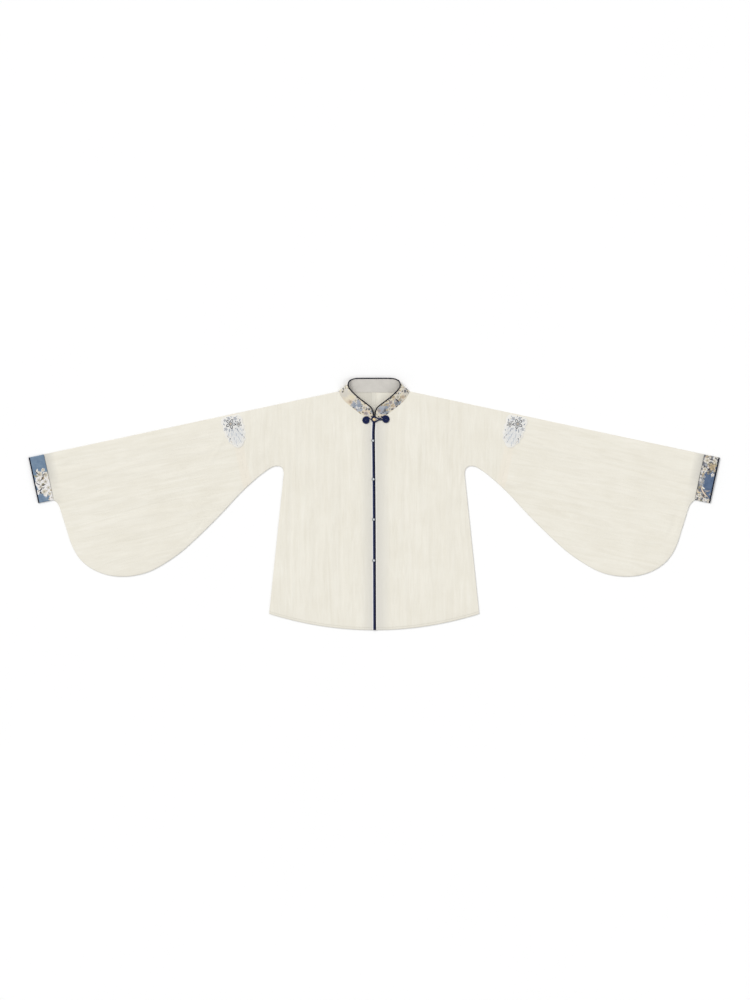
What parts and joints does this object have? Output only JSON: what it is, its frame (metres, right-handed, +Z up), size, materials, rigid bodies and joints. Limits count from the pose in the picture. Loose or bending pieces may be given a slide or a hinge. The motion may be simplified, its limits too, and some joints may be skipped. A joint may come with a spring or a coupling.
{
  "type": "stand-collar hanfu jacket laid flat",
  "caption": "Cream stand-collar jacket with wide curved sleeves, printed cuffs and collar and a bound front, laid flat with its front up.",
  "frame": {"origin": "centre of the bounding box's underside, on the surface that the jacket lies on", "axes": "+X to the wearer's left along the sleeves, +Y towards the collar, +Z up off the surface"},
  "size_m": [1.7972, 0.6558, 0.0204],
  "materials": {
    "cream_cloth": "crinkled cotton gauze, matt",
    "printed_cuff": "slate blue cloth printed with cream flowers, matt",
    "printed_collar": "cream cloth printed with muted flowers, stiffened",
    "navy_binding": "dark navy satin binding, slight sheen",
    "navy_cord": "dark navy covered cord, slight sheen",
    "pale_patch": "pale blue and white embroidery, thread sheen",
    "gilt_bead": "polished gilt",
    "pearl_button": "grey pearl, glossy"
  },
  "bodies": {
    "root": {"back_left": "cream_cloth", "back_right": "cream_cloth", "front_left": "cream_cloth", "front_right": "cream_cloth", "sleeve_left": "cream_cloth", "sleeve_right": "cream_cloth", "cuff_left": "printed_cuff", "cuff_right": "printed_cuff", "cuff_binding_left": "navy_binding", "cuff_binding_right": "navy_binding", "collar": "printed_collar", "collar_piping": "navy_binding", "front_binding_left": "navy_binding", "front_binding_right": "navy_binding", "frog_left": "navy_cord", "frog_right": "navy_cord", "frog_bead": "gilt_bead", "button_1": "pearl_button", "button_2": "pearl_button", "button_3": "pearl_button", "button_4": "pearl_button", "patch_left": "pale_patch", "patch_right": "pale_patch"}
  },
  "joints": []
}
